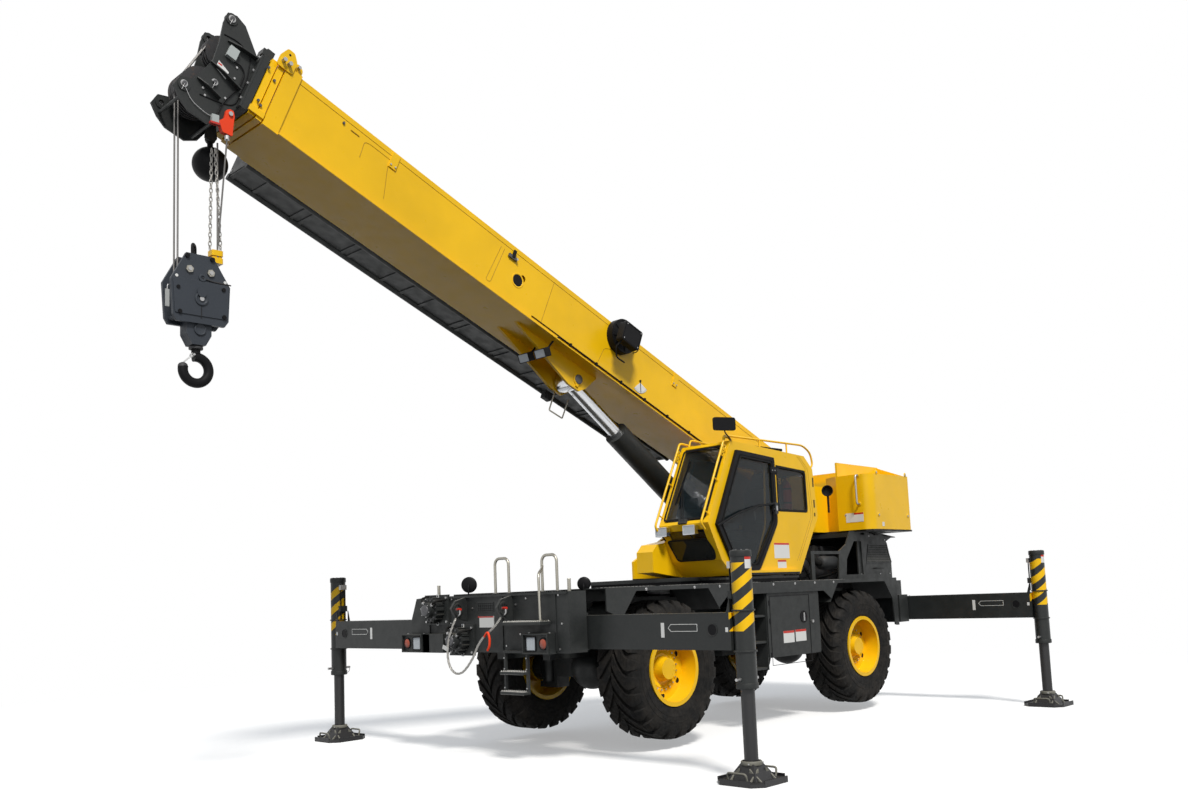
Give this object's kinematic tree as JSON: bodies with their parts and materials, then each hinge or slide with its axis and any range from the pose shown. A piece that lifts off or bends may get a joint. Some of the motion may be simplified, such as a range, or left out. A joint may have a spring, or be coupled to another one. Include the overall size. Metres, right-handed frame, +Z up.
{
  "type": "rough-terrain mobile crane",
  "caption": "Self-propelled rough-terrain crane on outriggers, with a slewing cab, a telescopic boom and a hook block.",
  "frame": {"origin": "on the ground, under the middle of the machine's length and width", "axes": "+X forward, +Y to the driver's left, +Z up"},
  "size_m": [10.7918, 6.67, 6.9817],
  "materials": {
    "ballast": "painted casting",
    "boom_paint": "gloss paint",
    "cast": "rough",
    "dark_paint": "satin black paint",
    "grey_paint": "satin charcoal paint",
    "rim_paint": "gloss paint",
    "rod_chrome": "polished",
    "rope_steel": "greased wire",
    "seat_cloth": "textured",
    "steel": "machined",
    "tyre_rubber": "matt",
    "window_glass": "clear",
    "yellow_paint": "gloss paint"
  },
  "bodies": {
    "carrier": {"carrier_frame": "grey_paint", "slew_ring": "steel", "carrier_deck": "grey_paint", "front_outrigger_box": "grey_paint", "rear_outrigger_box": "grey_paint", "side_lockers": "grey_paint", "engine_hood": "grey_paint", "engine_block": "cast", "drive_line": "grey_paint", "front_axle": "grey_paint", "rear_axle": "grey_paint", "front_fittings": "grey_paint", "handrails": "steel"},
    "knuckle_fl": {"knuckle_fl": "grey_paint"},
    "wheel_fl": {"rim_fl": "rim_paint", "tyre_fl": "tyre_rubber"},
    "knuckle_fr": {"knuckle_fr": "grey_paint"},
    "wheel_fr": {"rim_fr": "rim_paint", "tyre_fr": "tyre_rubber"},
    "knuckle_rl": {"knuckle_rl": "grey_paint"},
    "wheel_rl": {"rim_rl": "rim_paint", "tyre_rl": "tyre_rubber"},
    "knuckle_rr": {"knuckle_rr": "grey_paint"},
    "wheel_rr": {"rim_rr": "rim_paint", "tyre_rr": "tyre_rubber"},
    "outrigger_fl": {"outrigger_beam_fl": "grey_paint"},
    "jack_fl": {"jack_rod_fl": "dark_paint"},
    "outrigger_fr": {"outrigger_beam_fr": "grey_paint"},
    "jack_fr": {"jack_rod_fr": "dark_paint"},
    "outrigger_rl": {"outrigger_beam_rl": "grey_paint"},
    "jack_rl": {"jack_rod_rl": "dark_paint"},
    "outrigger_rr": {"outrigger_beam_rr": "grey_paint"},
    "jack_rr": {"jack_rod_rr": "dark_paint"},
    "superstructure": {"turntable_frame": "yellow_paint", "counterweight": "ballast", "winches": "dark_paint", "cab_shell": "yellow_paint", "cab_glass": "window_glass", "cab_interior": "seat_cloth", "heater_housing": "yellow_paint"},
    "cab_door": {"cab_door": "dark_paint", "door_glass": "window_glass"},
    "boom_base": {"boom_base": "boom_paint", "boom_extension": "grey_paint", "hose_reel": "dark_paint"},
    "boom_2": {"boom_section_2": "boom_paint"},
    "boom_3": {"boom_section_3": "boom_paint"},
    "boom_4": {"boom_section_4": "boom_paint", "boom_nose": "grey_paint", "nose_sheaves": "cast"},
    "lift_rod": {"lift_rod": "rod_chrome"},
    "lift_barrel": {"lift_barrel": "grey_paint"},
    "hook_lines": {"hoist_ropes": "rope_steel"},
    "hook_block": {"hook_block": "grey_paint"},
    "hook": {"hook": "cast"},
    "overhaul_ball": {"overhaul_ball": "cast"}
  },
  "joints": [
    {"name": "steer_fl", "type": "hinge", "parent": "carrier", "child": "knuckle_fl", "pos_m": [0.369, 0.72, 0.841], "axis": [0, 0, 1], "range_deg": [-20, 20]},
    {"name": "wheel_spin_fl", "type": "hinge", "parent": "knuckle_fl", "child": "wheel_fl", "pos_m": [0.369, 1, 0.841], "axis": [0, 1, 0], "continuous": true},
    {"name": "steer_fr", "type": "hinge", "parent": "carrier", "child": "knuckle_fr", "pos_m": [0.369, -0.72, 0.841], "axis": [0, 0, 1], "range_deg": [-20, 20]},
    {"name": "wheel_spin_fr", "type": "hinge", "parent": "knuckle_fr", "child": "wheel_fr", "pos_m": [0.369, -1, 0.841], "axis": [0, 1, 0], "continuous": true},
    {"name": "steer_rl", "type": "hinge", "parent": "carrier", "child": "knuckle_rl", "pos_m": [-3.526, 0.72, 0.841], "axis": [0, 0, 1], "range_deg": [-20, 20]},
    {"name": "wheel_spin_rl", "type": "hinge", "parent": "knuckle_rl", "child": "wheel_rl", "pos_m": [-3.526, 1, 0.841], "axis": [0, 1, 0], "continuous": true},
    {"name": "steer_rr", "type": "hinge", "parent": "carrier", "child": "knuckle_rr", "pos_m": [-3.526, -0.72, 0.841], "axis": [0, 0, 1], "range_deg": [-20, 20]},
    {"name": "wheel_spin_rr", "type": "hinge", "parent": "knuckle_rr", "child": "wheel_rr", "pos_m": [-3.526, -1, 0.841], "axis": [0, 1, 0], "continuous": true},
    {"name": "outrigger_slide_fl", "type": "slide", "parent": "carrier", "child": "outrigger_fl", "axis": [0, -1, 0], "range_m": [0, 1.9]},
    {"name": "jack_slide_fl", "type": "slide", "parent": "outrigger_fl", "child": "jack_fl", "axis": [0, 0, 1], "range_m": [-0.08, 0.56]},
    {"name": "outrigger_slide_fr", "type": "slide", "parent": "carrier", "child": "outrigger_fr", "axis": [0, 1, 0], "range_m": [0, 1.9]},
    {"name": "jack_slide_fr", "type": "slide", "parent": "outrigger_fr", "child": "jack_fr", "axis": [0, 0, 1], "range_m": [-0.08, 0.56]},
    {"name": "outrigger_slide_rl", "type": "slide", "parent": "carrier", "child": "outrigger_rl", "axis": [0, -1, 0], "range_m": [0, 1.9]},
    {"name": "jack_slide_rl", "type": "slide", "parent": "outrigger_rl", "child": "jack_rl", "axis": [0, 0, 1], "range_m": [-0.08, 0.56]},
    {"name": "outrigger_slide_rr", "type": "slide", "parent": "carrier", "child": "outrigger_rr", "axis": [0, 1, 0], "range_m": [0, 1.9]},
    {"name": "jack_slide_rr", "type": "slide", "parent": "outrigger_rr", "child": "jack_rr", "axis": [0, 0, 1], "range_m": [-0.08, 0.56]},
    {"name": "swing", "type": "hinge", "parent": "carrier", "child": "superstructure", "pos_m": [-1.526, 0, 1.8], "axis": [0, 0, 1], "continuous": true},
    {"name": "cab_door_slide", "type": "slide", "parent": "superstructure", "child": "cab_door", "axis": [-1, 0, 0], "range_m": [0, 0.7]},
    {"name": "boom_lift", "type": "hinge", "parent": "superstructure", "child": "boom_base", "pos_m": [-3.096, 0, 3.08], "axis": [0, -1, 0], "range_deg": [-25.4, 53.6]},
    {"name": "telescope_2", "type": "slide", "parent": "boom_base", "child": "boom_2", "axis": [0.9245, 0, 0.3811], "range_m": [0, 6.7]},
    {"name": "telescope_3", "type": "slide", "parent": "boom_2", "child": "boom_3", "axis": [0.9245, 0, 0.3811], "range_m": [0, 6.7]},
    {"name": "telescope_4", "type": "slide", "parent": "boom_3", "child": "boom_4", "axis": [0.9245, 0, 0.3811], "range_m": [0, 6.7]},
    {"name": "lift_rod_pivot", "type": "hinge", "parent": "boom_base", "child": "lift_rod", "pos_m": [0.59201, 0, 4.15663], "axis": [0, -1, 0], "range_deg": [-2, 2]},
    {"name": "lift_barrel_slide", "type": "slide", "parent": "lift_rod", "child": "lift_barrel", "axis": [-0.8186, 0, -0.5743], "range_m": [-0.6, 1.2]},
    {"name": "hook_lines_plumb", "type": "hinge", "parent": "boom_4", "child": "hook_lines", "pos_m": [5.08467, 0, 6.24632], "axis": [0, -1, 0], "range_deg": [-60, 60]},
    {"name": "hook_hoist", "type": "slide", "parent": "hook_lines", "child": "hook_block", "axis": [0, 0, -1], "range_m": [0, 3.4], "deforming": ["hoist_ropes"]},
    {"name": "hook_swivel", "type": "hinge", "parent": "hook_block", "child": "hook", "pos_m": [5.08467, 0, 3.95], "axis": [0, 0, 1], "continuous": true},
    {"name": "overhaul_ball_plumb", "type": "hinge", "parent": "boom_4", "child": "overhaul_ball", "pos_m": [4.85279, -0.215, 5.95606], "axis": [0, -1, 0], "range_deg": [-60, 60]}
  ],
  "couplings": [
    {"joint": "steer_fr", "follows": "steer_fl", "ratio": 1},
    {"joint": "steer_rr", "follows": "steer_rl", "ratio": 1},
    {"joint": "telescope_3", "follows": "telescope_2", "ratio": 1},
    {"joint": "telescope_4", "follows": "telescope_2", "ratio": 1},
    {"joint": "lift_rod_pivot", "follows": "boom_lift", "ratio": 0.02},
    {"joint": "lift_barrel_slide", "follows": "boom_lift", "m_per_rad": 1.21},
    {"joint": "hook_lines_plumb", "follows": "boom_lift", "ratio": -1},
    {"joint": "overhaul_ball_plumb", "follows": "boom_lift", "ratio": -1}
  ]
}
